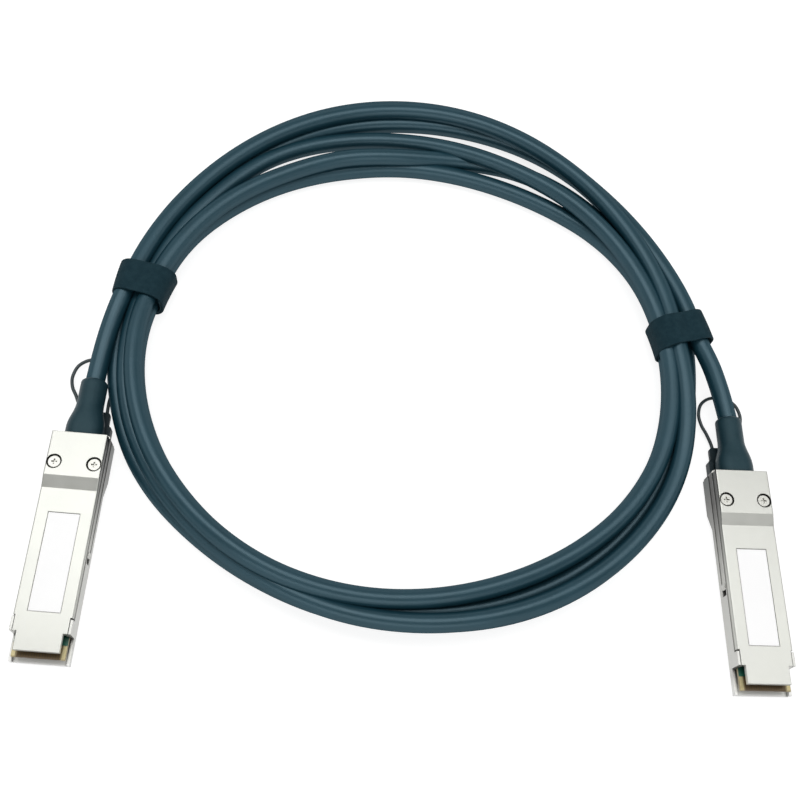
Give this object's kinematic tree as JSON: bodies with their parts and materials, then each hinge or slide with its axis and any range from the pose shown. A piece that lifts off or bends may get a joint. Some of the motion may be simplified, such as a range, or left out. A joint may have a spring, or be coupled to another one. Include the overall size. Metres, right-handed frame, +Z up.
{
  "type": "direct attach copper cable",
  "caption": "Coiled copper network cable: die-cast plugs with blank labels and wire pull latches at both ends, the coil held flat by hook-and-loop straps.",
  "frame": {"origin": "on the floor, in the middle of the box round the two plugs", "axes": "+Z up from the floor, +X from the left plug to the right plug, +Y from the plugs' noses towards the coil"},
  "size_m": [0.2507, 0.2442, 0.0176],
  "materials": {
    "die_cast": "satin nickel plate over a zinc casting",
    "screw_steel": "plated steel",
    "label_paper": "matt white, blank",
    "solder_mask": "green solder mask",
    "gold": "hard gold plate",
    "chip_black": "moulded epoxy",
    "ceramic": "ceramic",
    "ferrule_brass": "plain",
    "pair_film": "polyester film",
    "boot_black": "moulded, satin",
    "latch_steel": "stamped stainless steel",
    "yoke_black": "moulded",
    "wire_black": "black coated wire",
    "spring_steel": "plain",
    "jacket": "satin jacket, dark slate",
    "strap": "hook-and-loop tape, dark"
  },
  "bodies": {
    "base": {"top_cover_a": "die_cast", "bottom_shell_a": "die_cast", "cover_screws_a": "screw_steel", "label_a": "label_paper", "paddle_card_a": "solder_mask", "contact_pads_a": "gold", "memory_chip_a": "chip_black", "card_capacitors_a": "ceramic", "crimp_ferrule_a": "ferrule_brass", "twinax_pairs_a": "pair_film", "strain_relief_a": "boot_black", "return_springs_a": "spring_steel", "top_cover_b": "die_cast", "bottom_shell_b": "die_cast", "cover_screws_b": "screw_steel", "label_b": "label_paper", "paddle_card_b": "solder_mask", "contact_pads_b": "gold", "memory_chip_b": "chip_black", "card_capacitors_b": "ceramic", "crimp_ferrule_b": "ferrule_brass", "twinax_pairs_b": "pair_film", "strain_relief_b": "boot_black", "return_springs_b": "spring_steel", "cable_coil": "jacket", "cable_lead_a": "jacket", "cable_lead_b": "jacket", "strap_left": "strap", "strap_right": "strap"},
    "latch_a": {"latch_slider_a": "latch_steel", "pull_yoke_a": "yoke_black", "pull_wire_a": "wire_black"},
    "latch_b": {"latch_slider_b": "latch_steel", "pull_yoke_b": "yoke_black", "pull_wire_b": "wire_black"}
  },
  "joints": [
    {"name": "latch_a_pull", "type": "slide", "parent": "base", "child": "latch_a", "axis": [-0.1068, 0.9943, 0], "range_m": [0, 0.0025], "stiffness_N_per_m": 600, "springref_m": -0.002, "deforming": ["return_springs_a"]},
    {"name": "latch_b_pull", "type": "slide", "parent": "base", "child": "latch_b", "axis": [-0.1594, 0.9872, 0], "range_m": [0, 0.0025], "stiffness_N_per_m": 600, "springref_m": -0.002, "deforming": ["return_springs_b"]}
  ]
}
